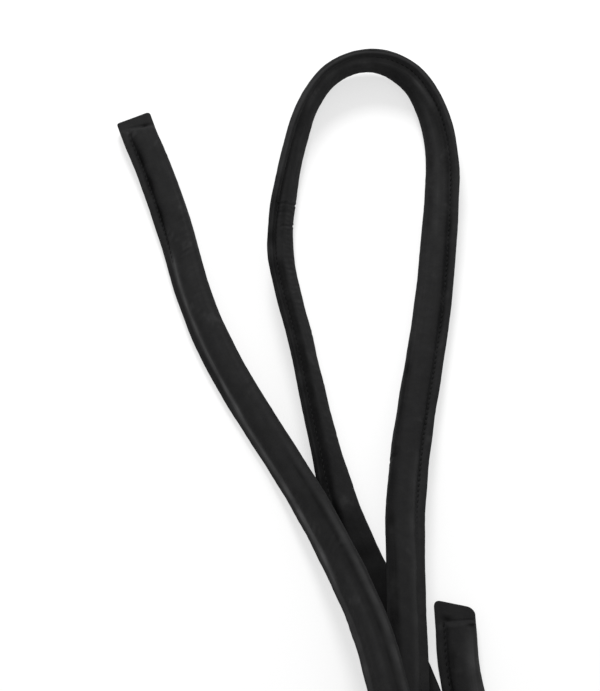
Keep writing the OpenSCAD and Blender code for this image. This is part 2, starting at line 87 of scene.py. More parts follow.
def to_frame(points):
    """Plan millimetres to the frame's metres."""
    return (np.asarray(points, float) - ORIGIN) * MM


# Routes: plan x, y, lift above lying flat, degrees that the seam edge is turned down (below 0: up)
RUN_IN, TIE_NEAR, TIE_FAR = 34.0, 24.0, 62.0


def fold(x0, x1, y, turn, steps):
    """Half circle from x0 to x1 about y, over the top if turn is above 0."""
    r = abs(x1 - x0) / 2
    out = []
    for i in range(steps + 1):
        a = math.radians(180 - 180 * i / steps if turn > 0 else -180 * i / steps)
        out.append(((x0 + x1) / 2 + r * math.cos(a), y + r * math.sin(a), 0, 0))
    return out


def tied_run(x, y0, y1):
    """Straight run from y0 to y1, lifted where a tie passes under it."""
    s = math.copysign(1, y1 - y0)
    return [
        (x, y0 + RUN_IN * s, 0, 0), (x, TIE_Y - TIE_FAR * s, 0, 0), (x, TIE_Y - TIE_NEAR * s, TIE_LIFT, 0),
        (x, TIE_Y + TIE_NEAR * s, TIE_LIFT, 0), (x, TIE_Y + TIE_FAR * s, 0, 0), (x, y1 - RUN_IN * s, 0, 0),
    ]


LEFT_TAIL = [
    (-73.4, 114.9, 1.9, 8), (-70.4, 106.4, 1.4, 8), (-63.2, 88.2, 1, 12), (-56.1, 67.2, 1.4, 20),
    (-50.1, 46.2, 2.8, 32), (-44.6, 25, 3.9, 39), (-37.1, 3.9, 4.2, 41), (-27.9, -16.1, 4.5, 43),
    (-17.2, -35.8, 5.1, 47), (-6.3, -54.9, 6, 50), (4, -73.8, 8.4, 49), (13.9, -94.2, 11.2, 46),
    (22.9, -115.6, 15.4, 44), (29.9, -136, 20.4, 40), (35.3, -159.4, 24.6, 36), (38, -173, 24.4, 32),
    (41.1, -186.5, 21, 26), (44, -213, 10, 12), (43.8, -240, 2.4, 4), (RUN_1, -268, 0, 0),
]
LEFT_BIT_RUN = [
    (RUN_4 + 2, LEFT_END[1] - 138, 0, 0), (RUN_4 + 13, LEFT_END[1] - 104, 0, 0),
    (LEFT_END[0] - 11, LEFT_END[1] - 66, 0, 0), (LEFT_END[0] - 1, LEFT_END[1] - 32, END_LIFT, 0),
    (LEFT_END[0], LEFT_END[1], END_LIFT, 0),
]
LEFT_ROUTE = (
    LEFT_TAIL + tied_run(RUN_1, -290, FOLD_LOW + 10)
    + fold(RUN_1, RUN_2, FOLD_LOW, -1, 10) + tied_run(RUN_2, FOLD_LOW - 10, FOLD_HIGH + 6)
    + fold(RUN_2, RUN_3, FOLD_HIGH, 1, 10) + tied_run(RUN_3, FOLD_HIGH + 10, FOLD_LOW - 6)
    + fold(RUN_3, RUN_4, FOLD_LOW, -1, 10) + LEFT_BIT_RUN
)
RIGHT_TAIL = [
    (63.9, -118.6, 0.3, 6), (64.2, -128.6, 0.4, 10), (64.7, -144, 0.9, 20), (67, -160, 1.9, 30),
    (76, -186, 0.9, 16), (86, -215, 0, 4), (93, -246, 0, 0), (OUT_RIGHT, -280, 0, 0),
    (OUT_RIGHT, -350, 0, 0), (OUT_RIGHT, -430, 0, 0), (OUT_RIGHT, OUTER_LOW + 34, 0, 0),
]
RIGHT_BACK = [
    (OUT_LEFT + 1, -258, 0, 0), (-97, -234, 0, 0), (-81, -215, 0, 0), (-60, -203, 0, 0), (-38, -199, 0, 0),
    (-18, -199, 0, 0), (0, -199, 0.2, 2), (15.5, -195, 1.9, 8), (29, -186.5, 6.4, 16),
    (37.2, -172.5, 10.9, 24), (38.6, -156, 13.3, 29),
]
RIGHT_LOOP = [
    (39, -139, 13.3, 32), (38.7, -121, 12.7, 30), (38.9, -104, 11.2, 27), (39.1, -87, 8.9, 20),
    (40.6, -69, 6.9, 16), (43, -50, 4.9, 15), (46.1, -31, 2.9, 13), (49.5, -12, 1.2, 8),
    (52.9, 8, 0.4, 2), (55.8, 28, 0.2, -5), (58.1, 48, 0.4, -13), (60.4, 69, 0.8, -21),
    (61.7, 88, 1.3, -31), (61, 104, 1.9, -43), (57.4, 120, 2.6, -56), (50.9, 133.2, 3.4, -71),
    (41.8, 141.2, 3.8, -86), (32, 143.9, 4, -93), (22.2, 141.9, 3.9, -93), (12.4, 134.4, 3.4, -86),
    (4.8, 121.6, 2.8, -77), (-0.2, 105.3, 2.3, -69), (-3.7, 88, 1.9, -66), (-6.1, 71, 1.6, -61),
    (-7.6, 53, 1.6, -56), (-6.6, 35.2, 1.6, -50), (-2.8, 16.4, 1.6, -49), (1.5, -2.7, 1.6, -51),
    (5.4, -21.9, 1.6, -50), (9.2, -39.9, 1.4, -46), (13.6, -57.9, 1.1, -39), (18.9, -76, 0.6, -20),
    (25.6, -94.2, 0.3, -10), (33.5, -112, 0.1, -5), (40.3, -130, 0, -2), (46.2, -146, 0, 0),
    (51, -160, 0, 0), (57.5, -185, 0, 0), (64.5, -212, END_LIFT * 0.6, 0),
    (RIGHT_END[0] - 0.5, -230, END_LIFT, 0), (RIGHT_END[0], RIGHT_END[1], END_LIFT, 0),
]
RIGHT_ROUTE = (
    RIGHT_TAIL + fold(OUT_RIGHT, OUT_LEFT, OUTER_LOW, -1, 12)
    + tied_run(OUT_LEFT, OUTER_LOW - 4, -290) + RIGHT_BACK + RIGHT_LOOP
)


def smoothstep(x, a, b):
    """0 below a and 1 above b, with a soft rise between them."""
    k = np.clip((x - a) / (b - a), 0, 1)
    return k * k * (3 - 2 * k)


def span(s, s0, s1, fade=16):
    """1 between s0 and s1, with soft ends."""
    fade = min(fade, (s1 - s0) / 2)
    return smoothstep(s, s0, s0 + fade) * (1 - smoothstep(s, s1 - fade, s1))


def hump(x, at, width):
    """1 at one place, falling off softly over a width on either side."""
    return np.exp(-(((x - at) / width) ** 2))


def smooth(points, steps):
    """One smooth curve through the points, as many samples to each span."""
    p = np.array(points, float)
    e = np.vstack([2 * p[0] - p[1], p, 2 * p[-1] - p[-2]])
    k = np.sqrt(np.linalg.norm(np.diff(e[:, :3], axis=0), axis=1))
    t = (np.arange(steps) / steps)[:, None]
    out = []
    for i in range(1, len(e) - 2):
        a, b, c, d = e[i - 1], e[i], e[i + 1], e[i + 2]
        m1 = ((b - a) / k[i - 1] - (c - a) / (k[i - 1] + k[i]) + (c - b) / k[i]) * k[i]
        m2 = ((c - b) / k[i] - (d - b) / (k[i] + k[i + 1]) + (d - c) / k[i + 1]) * k[i]
        out.append((2 * t**3 - 3 * t**2 + 1) * b + (t**3 - 2 * t**2 + t) * m1
                   + (3 * t**2 - 2 * t**3) * c + (t**3 - t**2) * m2)
    return np.vstack(out + [p[-1:]])


# Samples to each span of a route, length over which the tail's slant fades, and where the padding starts
ROUTE_SAMPLES, SLANT_L = 48, 12.0
PAD_FROM, PAD_TO = 0.1, 3.1


class Strap:
    """A rein's route with its own directions at every distance s from the tail."""

    def __init__(self, route, slant, corner, line, seed):
        """The tail is cut at a slant, with round corners and a line that closes the padding off."""
        self.slant, self.corner, self.seed = slant, corner, seed
        self.line_at, self.line_lean = line
        r = np.array(route, float)
        d = (r[-1] - r[-2]) / np.linalg.norm(r[-1] - r[-2])
        first = r[0] + (r[1] - r[0]) * TAIL_TAB / np.linalg.norm(r[1] - r[0])
        r = np.vstack([r[:1], first, r[1:], r[-1] + d * FLATTEN_L, r[-1] + d * (FLATTEN_L + BIT_TAB)])
        route_line = smooth(r, ROUTE_SAMPLES)
        route_line[:, 2] += FLAT_Z
        steps = np.linalg.norm(np.diff(route_line[:, :3], axis=0), axis=1)
        self.s = np.concatenate([[0], np.cumsum(steps)])
        self.line = np.hstack([route_line, np.gradient(route_line[:, :3], self.s, axis=0)])
        self.length = self.s[-1]
        self.padded_l = self.length - BIT_TAB - FLATTEN_L

    def at(self, s):
        """Centre, and the unit vectors along, across (to the seam edge) and up."""
        c = np.stack([np.interp(s, self.s, self.line[:, k]) for k in range(7)], -1)
        along = c[..., 4:] / np.linalg.norm(c[..., 4:], axis=-1, keepdims=True)
        level = np.stack([along[..., 1], -along[..., 0], 0 * along[..., 0]], -1)
        level /= np.linalg.norm(level, axis=-1, keepdims=True)
        above = np.cross(level, along)
        turn = np.radians(c[..., 3:4])
        across = level * np.cos(turn) - above * np.sin(turn)
        return c[..., :3], along, across, above * np.cos(turn) + level * np.sin(turn)

    def place(self, s, p, q):
        """Plan points at distance s, p across and q up."""
        s, p, q = np.broadcast_arrays(np.asarray(s, float), p, q)
        centre, along, across, up = self.at(s)
        slant = math.tan(math.radians(self.slant)) * (p - MID_P) * (1 - smoothstep(s, 0, SLANT_L))
        out = centre + across * p[..., None] + up * q[..., None] - along * np.asarray(slant)[..., None]
        out[..., 2] = np.maximum(out[..., 2], TABLE_GAP)
        return out

    def tail_line(self, p):
        """Distance from the tail of the line that closes the flat tab off."""
        return self.line_at + self.line_lean * (MID_P - p)

    def bulge(self, s, p):
        """1 where the strap is padded, 0 where it is sewn flat at the tail and at the bit end."""
        flat_end = smoothstep(s, self.padded_l, self.length - BIT_TAB)
        return smoothstep(s - self.tail_line(p), PAD_FROM, PAD_TO) * (1 - flat_end)


# Section of the strap from the roll's back to the seam edge: across, upper face, lower face
SECTION = np.array([
    (-5.00, 0.00, 0.00), (-4.98, 0.75, -0.75), (-4.88, 1.45, -1.45), (-4.62, 2.10, -2.10),
    (-4.18, 2.65, -2.65), (-3.55, 3.06, -3.08), (-2.75, 3.30, -3.35), (-1.80, 3.42, -3.46),
    (-0.60, 3.47, -3.50), (0.75, 3.49, -3.50), (2.10, 3.50, -3.50), (3.30, 3.49, -3.46),
    (4.30, 3.42, -3.28), (5.10, 3.24, -2.90), (5.72, 2.94, -2.35), (6.18, 2.50, -1.70),
    (6.52, 1.98, -1.10), (6.85, 1.62, -0.52), (7.15, 1.50, -0.36), (7.45, 1.55, -0.38),
    (7.75, 1.72, -0.44), (8.00, 1.90, -0.48), (8.25, 2.06, -0.52), (8.60, 2.24, -0.56),
    (9.30, 2.40, -0.60), (10.0, 2.40, -0.60), (10.5, 2.34, -0.54), (10.80, 2.18, -0.38),
    (10.96, 1.88, -0.08), (11.00, 1.45, 0.35), (10.96, 1.10, 0.70), (10.74, 0.90, 0.90),
])
HALF = len(SECTION)
COUNT = 2 * HALF - 2
# Rounding of the flat strap's back, start of the cut edge, and the valley beside the roll
BACK_ROUND, EDGE_FROM, VALLEY_P = 1.2, 9.3, 6.2
# Shoulder of a roll that leans over the seam: from, to and last place across, its end height and its fall
LEAN_FROM, LEAN_TO, LEAN_LAST, LEAN_LOW, LEAN_FALL = 4.3, 8.9, 9.0, 1.9, 1.5


def ring_of(upper, lower):
    """One closed ring: the back, the upper face out to the seam edge, and the lower face back."""
    return np.concatenate([upper, lower[-2:0:-1]])


def tab_half():
    """Half thickness of the flat sewn strap at each point of the section."""
    p = SECTION[:, 0]
    into = np.clip(BACK_ROUND - BACK_P - p, 0, BACK_ROUND) / BACK_ROUND
    back = LEATHER_T * np.sqrt(np.clip(1 - into**2, 0, 1))
    return np.where(p < EDGE_FROM, back, SECTION[:, 1] - SEAM_UP)


def leaning_upper():
    """Upper face of the section where the roll leans over the seam and hides its valley."""
    p = SECTION[:, 0]
    shoulder = LEAN_LOW + LEAN_FALL * (1 - smoothstep(p, LEAN_FROM, LEAN_TO))
    return np.maximum(SECTION[:, 1], np.where((p > LEAN_FROM) & (p < LEAN_LAST), shoulder, 0))


def way_round(face):
    """Distance from the roll's back along one face of the section."""
    return np.concatenate([[0], np.cumsum(np.hypot(*np.diff(SECTION[:, [0, face]], axis=0).T))])


RING_P = ring_of(SECTION[:, 0], SECTION[:, 0])
RING_Q = ring_of(SECTION[:, 1], SECTION[:, 2])
LEAN_Q = ring_of(leaning_upper(), SECTION[:, 2])
TAB_Q = ring_of(tab_half(), -tab_half())
RING_H = ring_of(way_round(1), -way_round(2))
VALLEY_H = way_round(1)[np.argmin(np.abs(SECTION[:, 0] - VALLEY_P))]
# Points that take bands and dents: the upper face and the whole of the seam edge
MARKED = np.where((RING_H > 0) | (RING_P > EDGE_FROM), 1.0, 0.0)


def outward():
    """Outward direction of the ring at each of its points, across and up."""
    dp = np.roll(RING_P, -1) - np.roll(RING_P, 1)
    dq = np.roll(RING_Q, -1) - np.roll(RING_Q, 1)
    size = np.hypot(dp, dq)
    return -dq / size, dp / size


# Marks of use, and of painted light and shade, on each rein, by distance from the tail:
# creases: place, from and to round the section, depth, width, lean
# wrinkles: from, to, from and to round the section, pitch, depth, lean
# bands of painted highlight (strength above 0) or painted shade: from, to, place across, width, strength
# leans, where the roll leans over the seam: from, to, share
# dents beside the tail's line, also painted darker as shade: place, place across, size, depth
LEFT_MARKS = {
    "creases": [
        (62, 2, 10, 0.10, 0.7, 0.15), (70, 1, 9, 0.12, 0.8, -0.1), (79, 3, 11, 0.10, 0.7, 0.2),
        (90, 2, 10, 0.13, 0.8, 0.1), (101, 1, 10, 0.10, 0.7, -0.15), (110, 3, 11, 0.09, 0.8, 0.1),
        (152, 0, 8, 0.08, 0.9, 0.2), (203, 9, 19, 0.16, 0.7, 0), (207, 10, 19, 0.14, 0.6, 0.05),
        (236, 0, 9, 0.08, 0.8, -0.2),
    ],
    "wrinkles": [(58, 118, 1, 9, 3.6, 0.04, 0)],
    # bands of painted highlight (above 0) and painted shade (below 0)
    "bands": [
        (66, 165, 6.7, 1.2, 1.25), (140, 250, 7.9, 1.2, 1.4), (230, 335, 9.1, 1.1, 0.38),
        (66, 165, 8.9, 0.5, -0.6), (75, 215, -1.5, 3.5, 0.15), (6, 72, 6.5, 1.8, -1.0),
        (205, 335, -4.8, 0.7, 0.3), (178, 335, -2.8, 0.9, -0.5), (235, 335, 1.2, 0.9, 0.2),
    ],
    "leans": [(62, 345, 1.0)],
    "dents": [(6.3, -0.7, 0.9, 0.45)],
}
RIGHT_MARKS = {
    "creases": [
        (1652, -1, 20, 0.42, 0.5, 0.45), (1657.5, 3, 20, 0.28, 0.45, 0.36), (1662, -1, 14, 0.4, 0.5, 0.5),
        (1338, -4, 5, 0.22, 0.7, 0.2), (1366, 0, 8, 0.08, 0.8, -0.1), (1441, 1, 9, 0.07, 0.9, 0.15),
        (1548, 2, 12, 0.08, 0.8, 0.1), (1566, 1, 11, 0.08, 0.7, 0.0), (1581, 2, 12, 0.07, 0.8, -0.1),
        (1717, 0, 8, 0.12, 0.7, 0.1), (1741, 1, 9, 0.10, 0.8, 0.2), (1766, 0, 9, 0.09, 0.8, -0.1),
    ],
    "wrinkles": [
        (1650, 1712, 4, 13, 2.6, 0.3, 0.45), (1698, 1780, 3, 11, 3.2, 0.14, 0.3),
        (1536, 1600, 0, 9, 3.4, 0.05, 0),
    ],
    # bands of painted highlight (above 0) and painted shade (below 0)
    "bands": [
        (5, 60, -3.2, 2.4, 0.4), (16, 34, 4.2, 1.5, -0.6), (1225, 1350, 5.2, 1.9, 0.27),
        (1235, 1400, -3.8, 1.3, -0.9), (1395, 1470, 7.7, 1.4, -0.7), (1440, 1530, 2.0, 1.3, 0.16),
        (1475, 1522, 5.8, 1.3, -0.6), (1440, 1540, -1.6, 1.3, -0.4), (1512, 1610, 6.0, 1.6, 0.5),
        (1538, 1590, 1.0, 3.5, 0.12), (1578, 1612, 10.3, 0.7, 0.3), (1648, 1674, 5.2, 2.2, -0.7),
        (1672, 1815, 6.4, 1.7, -1.2), (1636, 1815, 9.8, 1.7, -1.0), (1795, 1890, 2.5, 8.0, -0.75),
    ],
    "leans": [(1222, 1330, 0.6), (1540, 1636, 0.8)],
    "dents": [(6.6, 6.2, 1.1, 0.45), (9.6, -3.4, 1.2, 0.45)],
}
# A crease's soft ends, its raised lips' height and distance in shares of depth and width, and its reach
CREASE_FADE, LIP, LIP_AT, CREASE_REACH = 2.5, 0.35, 2, 12
# Width of a wrinkle in a group, as a share of the group's pitch
WRINKLE_W = 0.24
# Swell of the leather: length, width and height of long and of short waves
LONG_SWELL, SHORT_SWELL = (26, 14, 0.09), (6, 5, 0.025)
# Waves in a swell, spread of their lengths and widths, and share of the height that one wave has
WAVES, WAVE_SPREAD, WAVE_SHARE = 6, (0.6, 1.7), 1 / 2.4
# Pucker at each stitch: height, and width about the valley
PUCKER, PUCKER_W = 0.035, 1.3


def crease(s, h, s0, h0, h1, depth, width, lean):
    """A pressed line across the strap with a raised lip on either side."""
    x = (s - s0 - lean * (h - (h0 + h1) / 2)) / width
    shown = smoothstep(h, h0, h0 + CREASE_FADE) * (1 - smoothstep(h, h1 - CREASE_FADE, h1))
    return depth * shown * (LIP * hump(np.abs(x), LIP_AT, 1) - hump(x, 0, 1))


def wrinkle_creases(group, rng):
    """A group of wrinkles as single creases of uneven spacing, depth and lean."""
    s0, s1, h0, h1, pitch, depth, lean = group
    out, s = [], s0
    while s < s1:
        fade = math.sin(math.pi * (s - s0) / (s1 - s0)) ** 0.5
        low = h0 + rng.uniform(0, 2)
        high = h1 - rng.uniform(0, 2.5)
        deep = depth * fade * rng.uniform(0.5, 1.1)
        out.append((s, low, high, deep, pitch * WRINKLE_W, lean + rng.uniform(-0.12, 0.12)))
        s += pitch * rng.uniform(0.75, 1.3)
    return out


def waves(s, h, rng, long, across, height):
    """Uneven swell made of a few slanted waves about so long and so wide."""
    out = np.zeros(np.broadcast(s, h).shape)
    for _ in range(WAVES):
        k = 2 * math.pi / (long * rng.uniform(*WAVE_SPREAD))
        m = 2 * math.pi / (across * rng.uniform(*WAVE_SPREAD)) * rng.choice([-1, 1])
        out += height * WAVE_SHARE * np.sin(k * s + m * h + rng.uniform(0, 6.28))
    return out


def relief(strap, s, marks):
    """Height of the leather over the plain section: swell, seam pucker, creases and wrinkles."""
    rng = np.random.default_rng(strap.seed)
    h = RING_H[None, :]
    out = waves(s, h, rng, *LONG_SWELL) + waves(s, h, rng, *SHORT_SWELL)
    out += PUCKER * np.cos(2 * math.pi * s / STITCH_PITCH) * hump(np.abs(h), VALLEY_H, PUCKER_W)
    wrinkles = [c for group in marks["wrinkles"] for c in wrinkle_creases(group, rng)]
    for c in marks["creases"] + wrinkles:
        near = np.abs(s[:, 0] - c[0]) < CREASE_REACH
        out[near] += crease(s[near], h, *c)
    return out


# Distances of the cover's rings: at the tail, then steps in the picture, in the hank and near both ends
TAIL_RINGS, TAIL_RINGS_END = [0.0, 0.12, 0.3, 0.55, 0.9, 1.3, 1.8, 2.4], 3.0
SEEN_STEP, HANK_STEP, TAIL_STEP, BIT_STEP, LAST_STEP = 0.7, 3.2, 0.45, 1.5, 0.3
TAIL_REACH, BIT_REACH = 10.0, 60.0
# The straps are in the picture above this place along Y
VIEW_LOW = -165.0


def stations(strap):
    """Distances of the cover's rings from the tail."""
    out, s = list(TAIL_RINGS), TAIL_RINGS_END
    while s < strap.length - LAST_STEP:
        out.append(s)
        seen = np.interp(s, strap.s, strap.line[:, 1]) > VIEW_LOW
        step = SEEN_STEP if seen else HANK_STEP
        if s < TAIL_REACH:
            step = min(step, TAIL_STEP)
        elif s > strap.length - BIT_REACH:
            step = min(step, BIT_STEP)
        s += step
    return np.array(out + [strap.length])


def face_outward(mesh):
    """Turns all faces of a closed form over if they face inward."""
    form = bmesh.new()
    form.from_mesh(mesh)
    if form.calc_volume(signed=True) < 0:
        bmesh.ops.reverse_faces(form, faces=form.faces)
        form.to_mesh(mesh)
    form.free()


def mesh_object(name, points, faces):
    """A closed piece from plan points, in the frame."""
    mesh = bpy.data.meshes.new(name)
    mesh.from_pydata(to_frame(points).tolist(), [], faces)
    mesh.validate()
    face_outward(mesh)
    mesh.polygons.foreach_set("use_smooth", [True] * len(mesh.polygons))
    mesh.update()
    obj = bpy.data.objects.new(name, mesh)
    bpy.context.scene.collection.objects.link(obj)
    return obj


def turned(faces):
    """The same faces seen from their other side."""
    return [tuple(reversed(f)) for f in faces]


def band_faces(ring_a, ring_b, count):
    """Quads between two rings that start at the given points."""
    ks = [(k, (k + 1) % count) for k in range(count)]
    return [(ring_a + k, ring_b + k, ring_b + n, ring_a + n) for k, n in ks]


def tube_faces(rings, count, base=0):
    """Faces round a tube of rings, and on both its ends."""
    last = base + (rings - 1) * count
    faces = [f for a in range(base, last, count) for f in band_faces(a, a + count, count)]
    return faces + [tuple(range(base, base + count)), tuple(reversed(range(last, last + count)))]


def add_values(obj, name, kind, values):
    """A value at each point of a piece, 0 at any points past those given."""
    full = np.zeros((len(obj.data.vertices),) + values.shape[1:], np.float32)
    full[: len(values)] = values
    attribute = obj.data.attributes.new(name, kind, "POINT")
    attribute.data.foreach_set("vector" if kind == "FLOAT_VECTOR" else "value", full.ravel())


# Cover: thickness of the cut tail and length over which it fills out, fade of a leaning stretch,
# share of the relief that stays on the flat ends
CUT_T, CUT_L, LEAN_FADE, FLAT_RELIEF = 0.72, 0.5, 30, 0.25
# Pressed line that closes the tail: depth, width, and its ends at the back and at the seam
LINE_DEPTH, LINE_W, LINE_BACK, LINE_SEAM = 0.3, 0.45, (-4.9, -4.0), (6.5, 7.5)
# Room for the filler in the roll: first place, room at its end, step, sides,
# half width, half height and squareness
HOLLOW_FROM, HOLLOW_END, HOLLOW_STEP, HOLLOW_SIDES = 11, 1, 4.0, 12
HOLLOW_W, HOLLOW_H, HOLLOW_SQUARE = 4.25, 2.0, 0.7
# Wear on raised leather (from, range, most) and on the seam edge (place, width, strength)
RAISED_FROM, RAISED_RANGE, RAISED_MOST = 0.09, 0.3, 0.2
EDGE_WEAR_P, EDGE_WEAR_W, EDGE_WEAR = 10.8, 0.3, 0.15
# Strength along a band: its mean, and the length, width and height of its waves
BAND_MEAN, BAND_WAVES = 0.9, (15, 1, 0.22)
# A dent is drawn out across the strap by this share
DENT_WIDE = 1.6


def cover_section(strap, s, leans):
    """Across and up of every ring: padded or flat, leaning or not, with round tail corners."""
    pad = strap.bulge(s, RING_P)
    lean = sum(share * span(s, s0, s1, LEAN_FADE) for s0, s1, share in leans)
    q = TAB_Q * (1 - pad) + (RING_Q + (LEAN_Q - RING_Q) * lean) * pad
    r = strap.corner
    inset = r - np.sqrt(np.clip(r**2 - np.clip(r - s, 0, r) ** 2, 0, None))
    p = MID_P + (RING_P - MID_P) * (1 - inset / (STRAP_W / 2))
    return p, q * (CUT_T + (1 - CUT_T) * np.sqrt(np.clip(s / CUT_L, 0, 1)))


def cover_lift(strap, s, marks):
    """Height of the leather over its section, and how far each point lies in a dent, which is painted as
    shade.
    """
    pad = strap.bulge(s, RING_P)
    lift = relief(strap, s, marks) * (FLAT_RELIEF + (1 - FLAT_RELIEF) * pad)
    pressed = smoothstep(RING_P, *LINE_BACK) * (1 - smoothstep(RING_P, *LINE_SEAM))
    lift -= LINE_DEPTH * pressed * hump(s, strap.tail_line(RING_P), LINE_W)
    dent_shade = np.zeros(lift.shape)
    for at, across, size, depth in marks["dents"]:
        dent = MARKED * hump(s, at, size) * hump(RING_P, across, DENT_WIDE * size)
        lift -= depth * dent
        # a dent is also painted darker, as shade in the hollow
        dent_shade += dent
    return lift, dent_shade


def cover_wear_and_painted_light(strap, s, lift, bands):
    """Wear on raised leather and on the seam edge plus painted highlight bands, and painted shade bands, at
    every point.
    """
    wear_and_highlight = np.clip((lift - RAISED_FROM) / RAISED_RANGE, 0, RAISED_MOST)
    wear_and_highlight += EDGE_WEAR * hump(RING_P, EDGE_WEAR_P, EDGE_WEAR_W)
    painted_shade = np.zeros(lift.shape)
    uneven = BAND_MEAN + waves(s, 0 * RING_H, np.random.default_rng(strap.seed + 1), *BAND_WAVES)
    for s0, s1, at, width, strength in bands:
        band = abs(strength) * uneven * span(s, s0, s1) * MARKED * hump(RING_P, at, width)
        # strength above 0 is a painted highlight added to the wear, below 0 painted shade
        if strength > 0:
            wear_and_highlight += band
        else:
            painted_shade += band
    return wear_and_highlight, painted_shade


def cover_faces(rows):
    """Faces round the cover, with each end closed by quads from its back to its edge."""
    last = (rows - 1) * COUNT
    faces = [f for a in range(0, last, COUNT) for f in band_faces(a, a + COUNT, COUNT)]
    for i in range(HALF - 1):
        around = tuple(dict.fromkeys((i, i + 1, COUNT - i - 1, (COUNT - i) % COUNT)))
        faces.append(around)
        faces.append(tuple(last + k for k in reversed(around)))
    return faces


def oval(angle, width, height, square):
    """Flat oval about the roll's middle, across and up."""
    c, s = np.cos(angle), np.sin(angle)
    return (ROLL_P + width * np.sign(c) * np.abs(c) ** square, height * np.sign(s) * np.abs(s) ** square)


def cover_piece(name, strap, marks):
    """The leather folded round the filler and sewn along one side, hollow where the filler lies."""
    s = stations(strap)[:, None]
    p, q = cover_section(strap, s, marks["leans"])
    lift, dent_shade = cover_lift(strap, s, marks)
    out_p, out_q = outward()
    points = strap.place(s, p + lift * out_p, q + lift * out_q).reshape(-1, 3)
    hollow_s = np.arange(HOLLOW_FROM, strap.padded_l - HOLLOW_END, HOLLOW_STEP)[:, None]
    angle = -2 * math.pi * np.arange(HOLLOW_SIDES) / HOLLOW_SIDES
    hollow = strap.place(hollow_s, *oval(angle, HOLLOW_W, HOLLOW_H, HOLLOW_SQUARE)).reshape(-1, 3)
    faces = cover_faces(len(s)) + turned(tube_faces(len(hollow_s), HOLLOW_SIDES, len(points)))
    obj = mesh_object(name, np.vstack([points, hollow]), faces)
    wear_and_highlight, painted_shade = cover_wear_and_painted_light(strap, s, lift, marks["bands"])
    add_values(obj, "strap", "FLOAT_VECTOR", np.stack(np.broadcast_arrays(s, p, RING_H), -1).reshape(-1, 3))
    # painted shade from the dull bands and from the dents
    add_values(obj, "painted_shade", "FLOAT", np.clip(dent_shade + painted_shade, 0, 1).ravel())
    # the wear value also carries the painted highlight bands
    add_values(obj, "wear_and_highlight", "FLOAT", wear_and_highlight.ravel())
    return obj


# Filler: first place, room at its end, step, sides, half width, half height and squareness
FILLER_FROM, FILLER_END, FILLER_STEP, FILLER_SIDES = 13, 3, 3.0, 16
FILLER_W, FILLER_H, FILLER_SQUARE = 3.75, 1.6, 0.8
# Its strands: number, share that they stand out, and twist
LOBES, LOBE, LOBE_TWIST = 4, 0.05, 0.5


def core_piece(name, strap):
    """Twisted filler inside the roll."""
    s = np.arange(FILLER_FROM, strap.padded_l - FILLER_END, FILLER_STEP)[:, None]
    angle = -2 * math.pi * np.arange(FILLER_SIDES) / FILLER_SIDES
    lobe = 1 + LOBE * np.cos(LOBES * angle[None, :] + LOBE_TWIST * s)
    p, q = oval(angle, FILLER_W * lobe, FILLER_H * lobe, FILLER_SQUARE)
    points = strap.place(s, p, q).reshape(-1, 3)
    return mesh_object(name, points, tube_faces(len(s), FILLER_SIDES))


# One stitch: places along, heights and radii of its rings, sides of a ring, and lean to either end
STITCH_S = np.array([-1.12, -0.85, -0.4, 0.4, 0.85, 1.12])[:, None]
STITCH_Q = np.array([-0.55, 0.0, 0.17, 0.17, 0.0, -0.55])[:, None]
STITCH_R = np.array([0.22, 0.3, 0.32, 0.32, 0.3, 0.22])[:, None]
STITCH_SIDES, STITCH_LEAN = 6, 0.14
# Seam: its first stitch, room at its end, and the level of its stitches on the upper and the lower face
SEAM_FROM, SEAM_END, SEAM_LEVELS = 8.5, 3, {1: 1.46, -1: -0.34}


def stitches(name, rows, place):
    """Short stitches in one piece, where place(along, across, up) gives plan points.

    A row is its stitches' centres, place across, level and face (1 upper, -1 lower).
    """
    angle = 2 * math.pi * np.arange(STITCH_SIDES) / STITCH_SIDES
    across = STITCH_LEAN * np.sign(STITCH_S) + STITCH_R * np.cos(angle)
    up = STITCH_Q + STITCH_R * np.sin(angle)
    points, faces = [], []
    for centres, at, level, face in rows:
        for centre in centres:
            one = tube_faces(len(up), STITCH_SIDES, len(points) * up.size)
            faces += one if face > 0 else turned(one)
            along = np.broadcast_to(centre + STITCH_S, up.shape)
            points.append(place(along, at + across, level + face * up).reshape(-1, 3))
    return mesh_object(name, np.vstack(points), faces)


def seam_piece(name, strap, face):
    """One face of the lockstitch along the seam edge."""
    centres = np.arange(SEAM_FROM, strap.padded_l - SEAM_END, STITCH_PITCH)
    return stitches(name, [(centres, SEAM_P, SEAM_LEVELS[face], face)], strap.place)


# Strips of leather: rounding of the edges, half width and depth of a sewn groove
STRIP_ROUND, GROOVE_W, GROOVE_D = 0.55, 0.7, 0.14
# Chape: place of its grooves, and its swell: seed, length, width and height of its waves, least and most
CHAPE_GROOVE, CHAPE_SEED, CHAPE_SWELL, SWELL_LIMITS = 5.6, 5, (14, 9, 0.05), (-0.1, 0.05)
# Its free ends: share of the thickness, length of the thinning, narrowing and length of that
SKIVED_T, SKIVED_L, END_NARROW, END_ROUND = 0.55, 7, 0.10, 3
# Half angle that the chape's fold goes round the eye bar
FOLD_ANGLE = math.radians(101.8) - 0.12
# Stitches of the chape: from, to and pitch along it, and how far they are sunk
CHAPE_SEWN, CHAPE_SUNK = (-54, -29, 3.0), 0.12


def snap_place(end, heading):
    """Places of the snap beyond a strap end: along it from its eye bar, across it and up."""
    bar_x, bar_y = end[0] + heading * MID_P, end[1] + heading * BAR_REACH

    def place(x, y, z):
        x, y, z = np.broadcast_arrays(x, y, z)
        return np.stack([bar_x - heading * y, bar_y + heading * x, SNAP_Z + z], -1)

    return place


